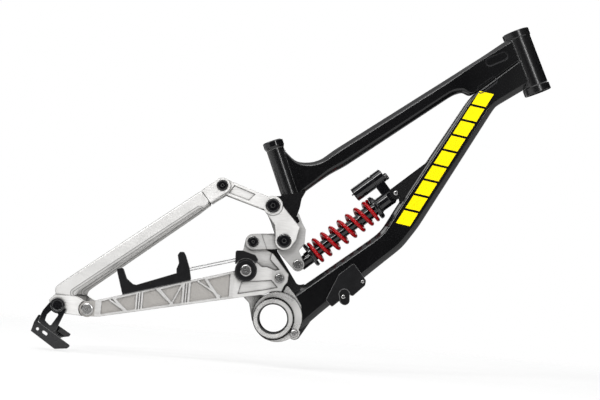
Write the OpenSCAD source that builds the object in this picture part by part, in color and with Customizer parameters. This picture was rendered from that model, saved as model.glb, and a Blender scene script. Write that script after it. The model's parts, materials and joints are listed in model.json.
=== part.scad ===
// Full-suspension bicycle frame for downhill riding, with a coil shock.
// Side-view points are [x, z]. The origin is the centre of the bottom bracket,
// +X points forward, +Z up, and the drive side lies at -Y. Sizes are in mm.

/* [Frame] */
// Distance forward from the bottom bracket to the top of the head tube
reach = 449; // [420:1:560]
// Height of the top of the head tube above the bottom bracket
stack = 636; // [600:1:680]
// Length of the head tube
head_len = 136; // [110:1:165]
// Angle between the head tube and the ground
head_angle = 64.7; // [62:0.1:68]
// Distance back from the bottom bracket to the rear axle
rear_len = 432; // [400:1:520]
// Distance between the inner faces of the dropouts
hub_w = 157; // [142:1:190]

/* [Bores] */
// Diameter of the headset seats in the head tube
head_bore = 49.6; // [44:0.1:50]
// Diameter of the seat post
post_d = 31.6; // [27.2:0.1:32]
// Diameter of the bore in the bottom bracket sleeve
bb_bore = 58; // [48:0.5:60]
// Width of the bottom bracket shell
bb_w = 83; // [73:1:100]
// Diameter of the rear through axle
axle_d = 12; // [10:0.5:15]

/* [Tubes] */
// Outer diameter of the head tube at its end rings
head_od = 57; // [54:0.5:64]
// Outer diameter of the seat tube
seat_od = 37; // [35:0.5:42]
// Width of the centre spine between the links
spine_w = 36; // [34:1:42]
// Width of the down tube at the bottom bracket
down_w = 58; // [50:1:64]
// Width of the top tube at its middle
top_w = 36; // [30:1:44]

/* [Linkage] */
// Thickness of the grey shock plates and of the swingarm's upper lugs
plate_t = 6.5; // [5:0.5:8]
// Thickness of the drag links
drag_t = 6.5; // [5:0.5:8]
// Thickness of the bright rocker plates and arms
rocker_t = 8; // [6:0.5:10]
// Side gap between parts that turn against each other
side_gap = 1; // [0.6:0.1:1.2]
// Radial running clearance of a pin in its hole
run_gap = 0.03; // [0.01:0.01:0.08]
// Diameter of the upper linkage axle
link_axle_d = 12; // [10:0.5:15]
// Diameter of the main pivot axle
main_axle_d = 15; // [12:0.5:17]

/* [Shock] */
// Distance between the centres of the shock eyes
eye_to_eye = 250; // [208:0.5:260]
// Outer diameter of the coil spring
spring_od = 53; // [48:0.5:56]
// Diameter of the spring wire
wire_d = 7.8; // [6.5:0.1:9]
// Diameter of the sliding lower tube
shaft_d = 24; // [16:0.5:25]
// Diameter of the reservoir
res_d = 30; // [24:0.5:32]
// Width of the shock eyes
eye_w = 24.6; // [20:0.2:26]

/* [Hidden] */
$fn = 64;

// Pivots of the linkage at full extension
main_pivot = [6, 83];
link_pivot = [-20, 230];
stay_pivot = [-126, 262];
lower_pin = [9, 160];
drag_pivot = [-54, 153];
lower_eye_at = [41, 114];
rear_axle_at = [-rear_len, -9];
rear_pivot = rear_axle_at + [59, -3];
idler_at = [-63, 93];
cradle_bolt_at = [45, -26];
shock_angle = 41.2;
shock_dir = [cos(shock_angle), sin(shock_angle)];
upper_eye_at = lower_eye_at + eye_to_eye * shock_dir;

// Side positions of the link layers, measured from the middle plane
plate_y0 = spine_w / 2 + side_gap;
plate_y1 = plate_y0 + plate_t;
drag_y0 = plate_y1 + side_gap;
drag_y1 = drag_y0 + drag_t;
rocker_y0 = drag_y1 + side_gap;
rocker_y1 = rocker_y0 + rocker_t;
lap_y = rocker_y0 + rocker_t / 2;
fork_y1 = rocker_y1 + side_gap + 7;
head_gap = 0.3;
// Gap left at a welded or bolted seam that follows a curve
seam = 0.12;

// Play that the three opened pivots need over the travel
stay_play = 5.4;
drag_play = 4.4;
eye_play = 4;

link_axle_r = link_axle_d / 2;
main_axle_r = main_axle_d / 2;
pin_r = 5;
bolt_r = 4;
big_head_r = 13.7;
small_head_r = 10.3;
bearing_t = 4.5;
head_dir = [-cos(head_angle), sin(head_angle)];
head_back = [-sin(head_angle), -cos(head_angle)];
head_top = [reach, stack];
head_bottom = head_top - head_len * head_dir;
head_ring_h = 16;
seat_axis_top = [-33, 363];
seat_axis_low = [22, 236];
post_depth = 105;
cradle_c = [8, 4];
cradle_r = 51;
ring_r = 40.3;
sleeve_t = 2.6;
body_w = 66;
hub_y = hub_w / 2;
dropout_t = 12;
stay_eye_y0 = hub_y + 2.5;
stay_eye_y1 = stay_eye_y0 + 8.5;

// A point on the head tube: t down from its top, d back from its axis
function head_at(t, d) = head_top - t * head_dir + d * head_back;
function mix(a, b, f) = a + (b - a) * f;

// Outline points [x, z] or [x, z, radius], moved to p, or laid along u from p with v across it
function at(p, points) = [for (q = points) len(q) > 2 ? [p.x + q.x, p.y + q.y, q[2]] : p + [q.x, q.y]];
function along(p, u, v, points) = [for (q = points) let (m = p + q.x * u + q.y * v)
    len(q) > 2 ? [m.x, m.y, q[2]] : m];

// Rounds the corners of an outline whose points are [x, z] or [x, z, radius]
function corner(a, b, c, r, n) =
    let (u = (a - b) / norm(a - b), v = (c - b) / norm(c - b), half = acos(u * v) / 2,
        m = (u + v) / norm(u + v), o = b + m * r / sin(half),
        s = b + u * r / tan(half) - o, e = b + v * r / tan(half) - o,
        a0 = atan2(s.y, s.x), da = (atan2(e.y, e.x) - a0 + 540) % 360 - 180)
    [for (i = [0:n]) o + r * [cos(a0 + da * i / n), sin(a0 + da * i / n)]];
function rounded(p, n = 5) = [for (i = [0:len(p) - 1])
    let (a = p[(i + len(p) - 1) % len(p)], b = p[i], c = p[(i + 1) % len(p)])
    each (len(b) > 2 ? corner([a.x, a.y], [b.x, b.y], [c.x, c.y], b[2], n) : [b])];

// The same outline, always listed anticlockwise
function area2(p) = [for (i = [0:len(p) - 1]) let (q = p[(i + 1) % len(p)]) p[i].x * q.y - q.x * p[i].y]
    * [for (q = p) 1];
function ccw(p) = area2(p) > 0 ? p : [for (i = [1:len(p)]) p[len(p) - i]];
module outline(p) polygon(ccw(rounded(p)));

// Four points that join two circles by their outer tangents
function tangents(a, ra, b, rb) =
    let (l = norm(b - a), u = (b - a) / l, c = (ra - rb) / l, s = sqrt(1 - c * c),
        n1 = [u.x * c - u.y * s, u.x * s + u.y * c], n2 = [u.x * c + u.y * s, u.y * c - u.x * s])
    [a + ra * n2, b + rb * n2, b + rb * n1, a + ra * n1];

// A side-view outline made into a plate between two side positions
module plate(y0, y1) translate([0, y1, 0]) rotate([90, 0, 0]) linear_extrude(y1 - y0) children();

// The same, on the drive side for side = -1 and on the left for side = 1
module side_plate(side, y0, y1) plate(side < 0 ? -y1 : y0, side < 0 ? -y0 : y1) children();

// A round bar along Y at a side-view point
module bar_y(p, r, y0, y1) translate([p.x, y0, p.y]) rotate([-90, 0, 0]) cylinder(r = r, h = y1 - y0);
module side_bar(side, p, r, y0, y1) bar_y(p, r, side < 0 ? -y1 : y0, side < 0 ? -y0 : y1);

// A six-sided socket cut into a bolt head whose outer face lies at y1
module socket(side, p, size, depth, y1)
    translate([p.x, side * (y1 + 1), p.y]) rotate([side * 90, 0, 0])
        cylinder(d = size, h = depth + 1, $fn = 6);

// The outline of a link between two pins
module link_shape(a, ra, b, rb) {
    translate(a) circle(ra);
    translate(b) circle(rb);
    polygon(tangents(a, ra, b, rb));
}
module disc(p, r) translate(p) circle(r);

// A top-view outline, kept on one side, that shapes a plate's depth
module plan(side, points, z0 = -150, z1 = 420) translate([0, 0, z0])
    linear_extrude(z1 - z0) polygon(ccw([for (p = points) [p.x, side * p.y]]));

// A bolt: shank, head with a rounded rim and a hexagon socket
module bolt(side, p, r, y0, y1, head_r, head_h, hex) difference() {
    union() {
        side_bar(side, p, r, y0, y1 + 0.01);
        translate([p.x, side * y1, p.y]) rotate([side * -90, 0, 0]) rotate_extrude()
            polygon([[0, 0], [head_r, 0], [head_r, head_h * 0.55], [head_r - head_h * 0.25, head_h * 0.85],
                [head_r - head_h * 0.6, head_h], [0, head_h]]);
    }
    socket(side, p, hex, head_h * 0.6, y1 + head_h);
}

// One end of a tube: an eight-sided section standing on the line from lower to upper edge
module slab(upper, lower, w) {
    a = norm(upper - lower) / 2;
    b = w / 2;
    c = min(9, b * 0.5);
    mid = (upper + lower) / 2;
    lean = atan2(upper.x - lower.x, upper.y - lower.y);
    translate([mid.x, 0, mid.y]) rotate([0, lean, 0]) rotate([0, 90, 0]) linear_extrude(0.05)
        polygon([[a, b - c], [a - c, b], [c - a, b], [-a, b - c], [-a, c - b], [c - a, -b], [a - c, -b], [a, c - b]]);
}
// A tube through several ends, each [upper point, lower point, width]
module tube(ends) for (i = [0:len(ends) - 2]) hull() {
    slab(ends[i][0], ends[i][1], ends[i][2]);
    slab(ends[i + 1][0], ends[i + 1][1], ends[i + 1][2]);
}

// ---------- Front triangle ----------

module along_head() translate([head_bottom.x, 0, head_bottom.y])
    rotate([0, atan2(head_dir.x, head_dir.y), 0]) children();
module along_seat() translate([seat_axis_top.x, 0, seat_axis_top.y])
    rotate([0, atan2(seat_axis_low.x - seat_axis_top.x, seat_axis_low.y - seat_axis_top.y), 0]) children();

module head_barrel(grow = 0) along_head() rotate_extrude() {
    r = head_od / 2 + grow;
    body_r = r - 1.6;
    polygon([[0, 0], [r - 1, 0], [r, 1], [r, head_ring_h - 2], [body_r, head_ring_h],
        [body_r, head_len - head_ring_h], [r, head_len - head_ring_h + 2], [r, head_len - 1],
        [r - 1, head_len], [0, head_len]]);
}
module head_tube() color("#101113") difference() {
    head_barrel();
    along_head() translate([0, 0, -1]) cylinder(d = head_bore, h = head_len + 2);
}

top_ends = [
    [head_at(10, 18), head_at(62, 18), 44],
    [head_top + [-71, -64], head_top + [-83, -144.4], 42],
    [head_top + [-88, -76], head_top + [-96, -134], 41],
    [head_top + [-131, -109], head_top + [-118, -143], top_w],
    [[93, 356], [118, 324], top_w],
    [[72, 337], [92, 308], top_w - 3],
    [[52, 328], [59, 280], top_w - 8],
    [[20, 325], [42, 265], top_w - 12],
    [[-9, 350], [20, 246], top_w - 18]];
module top_tube_solid() tube(top_ends);
module top_tube() color("#141518") difference() {
    top_tube_solid();
    head_barrel(seam);
    seat_barrel(seam);
    plate(-spine_w / 2, spine_w / 2) spine_shape();
}

down_high = [head_top + [-83, -145], head_top + [-31, -163]];
down_bend = [[232, 249], [281, 212]];
down_ends = [
    [head_at(62.4, 18), head_at(118, 18), 46],
    [down_high[0], down_high[1], 48],
    [down_bend[0], down_bend[1], 47],
    [[207, 200], [252, 168], 48],
    [[186, 180], [222, 140], 50],
    [[52, 69], [98, 22], down_w],
    [[26, 47], [57, -20], down_w]];
module tongue_shape(grow = 0) link_shape([64, 6], 14 + grow, cradle_bolt_at + [1, -1], 13 + grow);
module down_tube() color("#141518") {
    difference() {
        tube(down_ends);
        head_barrel(seam);
        plate(-spine_w / 2, spine_w / 2) spine_shape();
        plate(-bb_w, bb_w) cradle_shape(seam);
        plate(-bb_w, bb_w) horn_shape();
        plate(-spine_w / 2, spine_w / 2) tongue_shape();
    }
    difference() {
        plate(-spine_w / 2 + head_gap, spine_w / 2 - head_gap) difference() {
            tongue_shape();
            spine_shape();
        }
        bar_y(cradle_bolt_at, bolt_r + run_gap, -bb_w, bb_w);
    }
}

// The spine carries the upper links and the main pivot, and ends on the cradle
module spine_shape() difference() {
    union() {
        outline([[44, 267], [37, 252], [35, 235], [33, 226], [30, 214], [34, 209, 3], [37, 202, 1.5], [32, 199, 2],
            [24, 196, 10], [4, 150, 12], [-6, 142, 6], [44, 72, 10], [58, 76], [58, 30], [-12, 30], [-13, 84],
            [-15, 112, 10], [-32, 140, 10], [-4, 178, 14], [-6, 205, 8], [-38, 228], [-20, 250], [-8, 252]]);
        disc(link_pivot, 18);
        disc(main_pivot, 17);
    }
    disc(cradle_c, cradle_r + seam);
}
module spine() color("#121316") difference() {
    plate(-spine_w / 2, spine_w / 2) spine_shape();
    for (s = [-1, 1]) {
        side_bar(s, link_pivot, 11 + run_gap, spine_w / 2 - bearing_t, spine_w);
        side_bar(s, main_pivot, 13 + run_gap, spine_w / 2 - bearing_t, spine_w);
    }
    bar_y(link_pivot, link_axle_r + run_gap, -spine_w, spine_w);
    bar_y(main_pivot, main_axle_r + run_gap, -spine_w, spine_w);
}
module seat_barrel(grow = 0) along_seat() cylinder(r = seat_od / 2 + grow, h = norm(seat_axis_low - seat_axis_top));
module seat_tube() color("#121316") difference() {
    seat_barrel();
    plate(-spine_w, spine_w) {
        spine_shape();
        polygon([[-8, 252], [-30, 246], [-30, 200], [70, 200], [70, 267], [44, 267]]);
    }
    along_seat() translate([0, 0, -1]) cylinder(d = post_d, h = post_depth + 1);
}
module seat_collar() color("#0c0c0e") along_seat() translate([0, 0, -2]) rotate_extrude() {
    r = seat_od / 2;
    polygon([[post_d / 2, 0], [r + 1, 0], [r + 2.8, 2], [r + 2.8, 12], [r + 1.2, 16], [r + 0.02, 18],
        [r + 0.02, 2 - 0.02], [post_d / 2, 2 - 0.02]]);
}

// Two ears stand on the down tube's upper edge and hold the shock's upper eye
edge_dir = (down_high[0] - down_bend[0]) / norm(down_high[0] - down_bend[0]);
edge_in = [edge_dir.y, -edge_dir.x];
edge_at = down_bend[0] + ((upper_eye_at - down_bend[0]) * edge_dir) * edge_dir;
function on_tube(points) = along(edge_at, edge_dir, edge_in, points);
module shock_mount() color("#0f1012") difference() {
    union() {
        for (s = [-1, 1]) side_plate(s, eye_w / 2 + 1.2, eye_w / 2 + 7.2) {
            disc(upper_eye_at, 12.5);
            outline(concat([upper_eye_at + [-9, 9]], on_tube([[94.6, 2.6], [53, 34.8], [-29.2, 18.5]]),
                [upper_eye_at + [9, -9]]));
        }
        plate(-eye_w / 2 - 1.3, eye_w / 2 + 1.3)
            outline(on_tube([[61.1, -6.3], [94.6, 2.6], [53, 34.8], [1.3, 19.9], [16.6, 0]]));
    }
    tube(down_ends);
    bar_y(upper_eye_at, bolt_r + run_gap, -bb_w, bb_w);
}
module upper_shock_bolt() color("#b9bcc0") {
    bolt(-1, upper_eye_at, bolt_r, -eye_w, eye_w / 2 + 7.2 + head_gap, 5.2, 3, 4);
    side_bar(1, upper_eye_at, 6.5, eye_w / 2 + 7.2 + head_gap, eye_w / 2 + 11);
}
module upper_eye_bush() color("#8f9296") difference() {
    bar_y(upper_eye_at, 7.5, -eye_w / 2 - 1, eye_w / 2 + 1);
    bar_y(upper_eye_at, bolt_r + run_gap, -eye_w, eye_w);
}

// Raw forging round the bottom bracket, seated on the spine and on the down tube's tongue
module cradle_shape(grow = 0) {
    disc(cradle_c, cradle_r + grow);
    disc(cradle_bolt_at, 12.4 + grow);
}
module horn_shape() outline([[14, 40], [15, 54], [21, 67], [25, 69, 4], [40, 53, 14], [58, 28, 14], [50, 10]]);
module shoulder_shape() outline([[-66, 44, 2], [-64, 38, 4], [-52, 27, 6], [-43, -8], [-20, -20],
    [0, 40], [-14, 46]]);
module bb_cradle() color("#c9c7c4") difference() {
    union() {
        plate(-body_w / 2, body_w / 2) cradle_shape();
        plate(-bb_w / 2, bb_w / 2) circle(ring_r);
        for (s = [-1, 1]) side_plate(s, spine_w / 2, 30) difference() {
            horn_shape();
            disc(main_pivot, 18.4);
        }
        plate(-spine_w / 2, spine_w / 2) difference() {
            shoulder_shape();
            spine_shape();
        }
    }
    // Groove round the bearing ring
    for (s = [-1, 1]) side_plate(s, body_w / 2 - 4, bb_w) difference() {
        circle(ring_r + 3);
        circle(ring_r);
        translate([-80, -30]) square([60, 90]);
    }
    bar_y([0, 0], bb_bore / 2 + sleeve_t + run_gap, -bb_w, bb_w);
    plate(-spine_w / 2, spine_w / 2) tongue_shape(0.3);
    bar_y(cradle_bolt_at, bolt_r + run_gap, -bb_w, bb_w);
}
module bb_sleeve() color("#0c0c0d") difference() {
    bar_y([0, 0], bb_bore / 2 + sleeve_t, -bb_w / 2, bb_w / 2);
    bar_y([0, 0], bb_bore / 2, -bb_w, bb_w);
}
module cradle_bolts() color("#b9b9b8") for (s = [-1, 1])
    bolt(s, cradle_bolt_at, bolt_r, 1, body_w / 2 + head_gap, 7.8, 4, 5);

// Cover that wraps the underside of the down tube and carries the hose clamps
guard_w = down_w + 5;
guard_screw_at = [[139, 57], [176, 91]];
module downtube_guard() color("#17181a") difference() {
    union() {
        plate(-guard_w / 2, guard_w / 2) outline([[126, 101, 3], [155, 127, 3], [171, 109, 3],
            [183, 94, 6], [182, 84, 5], [157, 58, 4], [151, 66], [118, 34, 3], [104, 47, 3]]);
        for (s = [-1, 1]) side_plate(s, guard_w / 2 - 9, guard_w / 2 + 2) link_shape([141, 62], 11, [143, 50], 10);
    }
    tube(down_ends);
    for (s = [-1, 1]) for (p = guard_screw_at)
        side_bar(s, p, 2 + run_gap, guard_w / 2 - 5, guard_w);
}
module guard_screws() color("#d0d0d0") for (s = [-1, 1]) {
    bolt(s, guard_screw_at[0], 2, guard_w / 2 - 5, guard_w / 2 + 2, 4.5, 2.4, 3);
    bolt(s, guard_screw_at[1], 2, guard_w / 2 - 5, guard_w / 2, 3.6, 2.2, 2.5);
}

// ---------- Pivots on the spine ----------

module bearing_pair(p, outer, inner, y1) for (s = [-1, 1]) difference() {
    side_bar(s, p, outer, y1 - bearing_t, y1);
    side_bar(s, p, inner, y1 - 2 * bearing_t, y1 + 1);
}
module main_axle() color("#9a9da1")
    bar_y(main_pivot, main_axle_r, -30 - head_gap, 30 + head_gap);
module main_axle_caps() color("#b5b4b2") for (s = [-1, 1])
    bolt(s, main_pivot, 6, 30 + head_gap, 30 + head_gap, 9.4, 2.6, 8);
module main_bearings() color("#77797c") bearing_pair(main_pivot, 13, main_axle_r + run_gap, spine_w / 2);
module link_axle() color("#9a9da1")
    bar_y(link_pivot, link_axle_r, -rocker_y1 - head_gap, rocker_y1 + head_gap);
module link_axle_bolts() color("#101012") for (s = [-1, 1])
    bolt(s, link_pivot, link_axle_r, rocker_y1 + head_gap, rocker_y1 + head_gap, big_head_r, 4.4, 9);
module link_bearings() color("#77797c") bearing_pair(link_pivot, 11, link_axle_r + run_gap, spine_w / 2);

// ---------- Swingarm ----------

// Depth of a chainstay in top view: [x, y] along its inner and outer faces
stay_inner = [[40, plate_y0], [-20, plate_y0], [-85, 39], [rear_pivot.x + 29, hub_y - 9],
    [rear_pivot.x + 24, stay_eye_y0], [rear_pivot.x - 30, stay_eye_y0]];
stay_outer = [[rear_pivot.x - 30, stay_eye_y1], [rear_pivot.x + 26, stay_eye_y1], [-85, 53], [-15, 31], [-10, 30],
    [40, 30]];
function top_edge(x) = rear_pivot.y + 18 + (x - rear_pivot.x - 12) * (91 - rear_pivot.y - 18) / (-96 - rear_pivot.x);
function low_edge(x) = rear_pivot.y - 13 + (x - rear_pivot.x - 25) * (38 - rear_pivot.y + 13) / (-93 - rear_pivot.x);

module stay_shape() difference() {
    stay_outline();
    disc(cradle_c, cradle_r + 1.5);
}
module stay_outline() {
    outline([rear_pivot + [-7, 14], rear_pivot + [12, 18], [-84, 91, 8], [-44, 112, 3], [-32, 103, 5], [-22, 104, 4],
        [6, 95, 4], [15, 92], main_pivot + [17, 2], main_pivot + [12, -12], [12, 56, 4], [-13, 49, 10], [-68, 38, 20],
        rear_pivot + [25, -13, 4], rear_pivot + [-7, -15]]);
    disc(main_pivot, 17.5);
    disc(rear_pivot, 16);
}
// Recessed bays between the ribs of the chainstay, each split by a slanted rib
rib_xs = [rear_pivot.x + 28, -275, -268, -184, -175, -90];
rib_m = 5;
module bay(x0, x1, lean) {
    a = [x0, low_edge(x0) + rib_m];
    b = [x1, low_edge(x1) + rib_m];
    c = [x1, top_edge(x1) - rib_m];
    d = [x0, top_edge(x0) - rib_m];
    split_low = mix(a, b, lean);
    split_top = mix(d, c, lean - 0.36);
    outline([a, split_low - [4, 0], split_top - [4, 0], d]);
    outline([split_low + [4, 1], b, c, split_top + [4, 0]]);
}
// A point of the chainstay's side: f of the way up from its lower edge
function on_stay(x, f) = [x, mix(low_edge(x), top_edge(x), f)];
module thin_rib(a, b) link_shape(on_stay(a.x, a.y), 2, on_stay(b.x, b.y), 2);
module stay_bays() {
    difference() {
        union() {
            bay(rib_xs[0], rib_xs[1] - 4, 0.72);
            bay(rib_xs[2] + 4, rib_xs[3] - 4, 0.76);
            bay(rib_xs[4] + 4, rib_xs[5] - 4, 0.74);
        }
        thin_rib([-329, 0.84], [-300, 0.16]);
        thin_rib([-238, 0.9], [-207, 0.12]);
        thin_rib([-207, 0.12], [-189, 0.88]);
        thin_rib([-157, 0.88], [-111, 0.16]);
    }
    // Two grooves in each broad rib
    for (x = [(rib_xs[1] + rib_xs[2]) / 2, (rib_xs[3] + rib_xs[4]) / 2]) for (d = [-2.5, 2.5])
        link_shape(on_stay(x + d, 0.12), 0.8, on_stay(x + d, 0.88), 0.8);
    outline([[-76, low_edge(-76) + 8], [-20, 57], [4, 64], [-10, 78], [-36, 74], [-70, 70]]);
}
module upper_lug_shape() {
    disc(drag_pivot, 15.5);
    outline([[-66, 167, 5], [-70, 158, 8], [-73, 136, 6], [-83, 116], [-86, 84], [-60, 60],
        main_pivot + [0, -14], main_pivot + [17, 2],
        [24, 94], [-11, 132, 6], [-42, 146]]);
    disc(main_pivot, 17.5);
}
module swingarm_side(s) {
    difference() {
        intersection() {
            plate(-bb_w * 2, bb_w * 2) stay_shape();
            plan(s, concat(stay_inner, stay_outer));
        }
        // The bays are cut 3 mm into the sloping outer face
        intersection() {
            plate(-bb_w * 2, bb_w * 2) stay_bays();
            plan(s, concat([for (p = stay_outer) p - [0, 3]], [[40, 130], [rear_pivot.x - 30, 130]]));
        }
    }
    side_plate(s, plate_y0, plate_y1) upper_lug_shape();
    // Raised border along the front of the upper lug
    side_plate(s, plate_y1 - 0.1, 30) outline([[24, 92], main_pivot + [17, 2], main_pivot + [9, 8], [-16, 120],
        [-14, 133], [-11, 132]]);
    side_bar(s, idler_at, 9, 44, 53);
}
module bridge_shape() outline([[-76, 56, 5], [-76, 100, 8], [-47, 104, 8], [-47, 62, 5]]);
module swingarm() color("#c9c7c4") difference() {
    union() {
        for (s = [-1, 1]) swingarm_side(s);
        plate(-37, 37) bridge_shape();
    }
    bar_y(main_pivot, main_axle_r + run_gap, -40, 40);
    for (s = [-1, 1]) {
        side_bar(s, rear_pivot, 6 + run_gap, stay_eye_y0 - 1, 120);
        side_bar(s, drag_pivot, bolt_r + drag_play, plate_y0 - 1, drag_y0);
    }
    side_bar(-1, idler_at, 5 + run_gap, 38, 60);
    side_bar(1, idler_at, 9.5, 46.5, 60);
}
module idler_roller() color("#0d0d0e") translate([idler_at.x, -53 - head_gap, idler_at.y])
    rotate([90, 0, 0]) rotate_extrude()
        polygon([[5 + run_gap, 0], [20, 0], [22.6, 1.2], [22.6, 2], [20.5, 3], [22.6, 4.2], [22.6, 5.2],
            [20, 6.4], [5 + run_gap, 6.4]]);
module idler_bolt() color("#a9abad") bolt(-1, idler_at, 5, 39, 60, 12, 4, 6);
module idler_guard() color("#131314") difference() {
    union() {
        side_plate(-1, 44, 62) difference() {
            outline([[-87, 129, 2], [-85, 132, 2], [-72, 133, 3], [-46, 126, 4], [-40, 117, 2], [-43, 108],
                [-86, 104, 2]]);
            disc(idler_at, 24);
        }
        // Foot that seats it on the chainstay, behind the roller
        side_plate(-1, 42, 50) difference() {
            polygon([[-80, 122], [-80, 88], [-50, 100], [-50, 122]]);
            disc(idler_at, 9.4);
        }
    }
    plate(-70, -30) stay_outline();
    for (d = [0, 5]) hose_rod(d, 0.1);
}
stay_front = [-84, 91];
rail_dir = (rear_pivot + [12, 18] - stay_front) / norm(rear_pivot + [12, 18] - stay_front);
rail_up = [rail_dir.y, -rail_dir.x];
function on_rail(points) = along(stay_front - [12, 0], rail_dir, rail_up, points);
function outer_y(x) = mix(53, stay_eye_y1, (-85 - x) / (-111 - rear_pivot.x));
module hose_rod(up, grow = 0) {
    start = on_rail([[79.8, 16.1]])[0];
    a = [start.x, 1.8 - outer_y(start.x), start.y + up];
    b = [-84, -56, 111 + up];
    v = b - a;
    translate(a) rotate([0, acos(v.z / norm(v)), atan2(v.y, v.x)])
        cylinder(r = 1.3 + grow, h = norm(v) + grow, $fn = 24);
}
module rear_pivot_bolts() color("#a9abad") for (s = [-1, 1])
    bolt(s, rear_pivot, 6, hub_y - 8, stay_eye_y1 + head_gap, 12.6, 4.4, 6);

// Black clip rail on top of the drive-side chainstay, with its two thin rods
module rail_band(inset, grow) plan(-1, [[rear_pivot.x, stay_eye_y1 - inset], [rear_pivot.x + 26, stay_eye_y1 - inset],
    [-85, 53 - inset], [-85, 53 + grow], [rear_pivot.x + 26, stay_eye_y1 + grow], [rear_pivot.x, stay_eye_y1 + grow]]);
module hose_rail() color("#111112") difference() {
    rail_solid();
    for (d = [0, 5]) hose_rod(d, 0.1);
}
module rail_solid() intersection() {
    plate(-120, -20) difference() {
        union() {
            outline(on_rail([[221, 50, 3], [207.7, 49.1, 4], [205.3, 26.4, 8], [195.8, 13, 6], [189.4, 10],
                [99.4, 16.9], [105.7, -10.4], [179.5, -5.6], [220.3, -8.8]]));
            outline(on_rail([[96.1, 51.5, 3], [90.3, 57, 3], [82.3, 55.6, 4], [79.9, 46.5, 4], [78.3, 20.9],
                [80, -1.6], [94.2, -14], [110, -3.9], [104.3, 24.7, 3], [97, 35]]));
        }
        outline(along(stay_front, rail_dir, rail_up, [[40, 0], [280, 0], [280, -60], [40, -60]]));
    }
    rail_band(6, 2);
}
module hose_rods() color("#b4b6b8") for (d = [0, 5]) hose_rod(d);

// ---------- Seatstays and dropouts ----------

tube_y_in = hub_y - 2.5;
tube_y_out = hub_y + dropout_t;
stay_plan = [[rear_axle_at.x - 30, tube_y_out], [rear_axle_at.x + 37, tube_y_out], [-165, fork_y1], [-90, fork_y1],
    [-90, 31], [-165, 31], [rear_axle_at.x + 37, tube_y_in], [rear_axle_at.x - 30, tube_y_in]];
stay_foot_z = rear_axle_at.y + 21;
module stay_tube_shape() outline([[rear_axle_at.x - 8, stay_foot_z], rear_axle_at + [-10, 36, 6],
    [-168, 248], [-148, 225], [-172, 203, 4], rear_axle_at + [37, 31], rear_axle_at + [34, 21]]);
module seatstay(s) color("#cfcdca") intersection() {
    plate(-130, 130) stay_tube_shape();
    plan(s, stay_plan);
}
module seatstay_drive() seatstay(-1);
module seatstay_left() seatstay(1);

// Machined upper end: a fork that takes the rocker arm's eye
module stay_end(s) color("#d4d2cf") difference() {
    intersection() {
        plate(-130, 130) union() {
            disc(stay_pivot, 16);
            outline([[-168, 248], stay_pivot + [-10, 12.5], stay_pivot + [12, -11], [-148, 225]]);
        }
        union() {
            plan(s, [[-190, fork_y1 + 4.33], [-165, fork_y1], [-90, fork_y1], [-90, drag_y0 - 1], [-165, drag_y0 - 1],
                [-190, 36]]);
        }
    }
    side_plate(s, rocker_y0 - side_gap, rocker_y1 + side_gap) disc(stay_pivot, 23);
    side_bar(s, stay_pivot, bolt_r + run_gap, 10, 80);
}
module stay_end_drive() stay_end(-1);
module stay_end_left() stay_end(1);
module stay_bolts() color("#101012") for (s = [-1, 1])
    bolt(s, stay_pivot, bolt_r, drag_y0, fork_y1 + 0.02, small_head_r + 0.3, 3.8, 6);

// Forged dropout: a boss at the axle and a thinner tongue at the rear pivot
module dropout_shape() {
    disc(rear_axle_at, 17);
    disc(rear_pivot, 15);
    outline([[rear_axle_at.x - 8, stay_foot_z], rear_axle_at + [34, 21], rear_pivot + [-6, 14],
        rear_pivot + [0, -15], rear_axle_at + [13, -16, 6], rear_axle_at + [-10, -13], rear_axle_at + [-19, 9, 6]]);
}
module dropout(s) color("#cbc9c6") difference() {
    intersection() {
        plate(-130, 130) dropout_shape();
        plan(s, [[rear_axle_at.x - 40, tube_y_out], [rear_pivot.x + 30, tube_y_out], [rear_pivot.x + 30, hub_y - 8],
            [rear_pivot.x - 18, hub_y - 8], [rear_pivot.x - 24, hub_y], [rear_axle_at.x - 40, hub_y]]);
    }
    side_bar(s, rear_pivot, 17.4, hub_y + 2, 130);
    side_bar(s, rear_axle_at, axle_d / 2 + run_gap, 10, 130);
    side_bar(s, rear_pivot, 11 + run_gap, 10, 130);
}
module dropout_drive() dropout(-1);
module dropout_left() dropout(1);
module rear_pivot_bearings() color("#77797c") for (s = [-1, 1]) difference() {
    side_bar(s, rear_pivot, 11, hub_y - 8, hub_y + 2);
    side_bar(s, rear_pivot, 6 + run_gap, hub_y - 20, hub_y + 20);
}
module rear_axle() color("#2a2b2d") {
    bar_y(rear_axle_at, axle_d / 2, -tube_y_out - 4.4, tube_y_out + 0.02);
    difference() {
        bar_y(rear_axle_at, 9, tube_y_out, tube_y_out + 4);
        socket(1, rear_axle_at, 6, 3, tube_y_out + 4);
    }
}
module axle_cap() color("#0d0d0e") translate([rear_axle_at.x, -tube_y_out - 4.4, rear_axle_at.y])
    rotate([90, 0, 0]) rotate_extrude()
        polygon([[0, 0], [14.5, 0], [14.5, 2.6], [13.3, 4], [10.8, 4.2], [9.8, 3.4], [0, 3.4]]);

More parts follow.
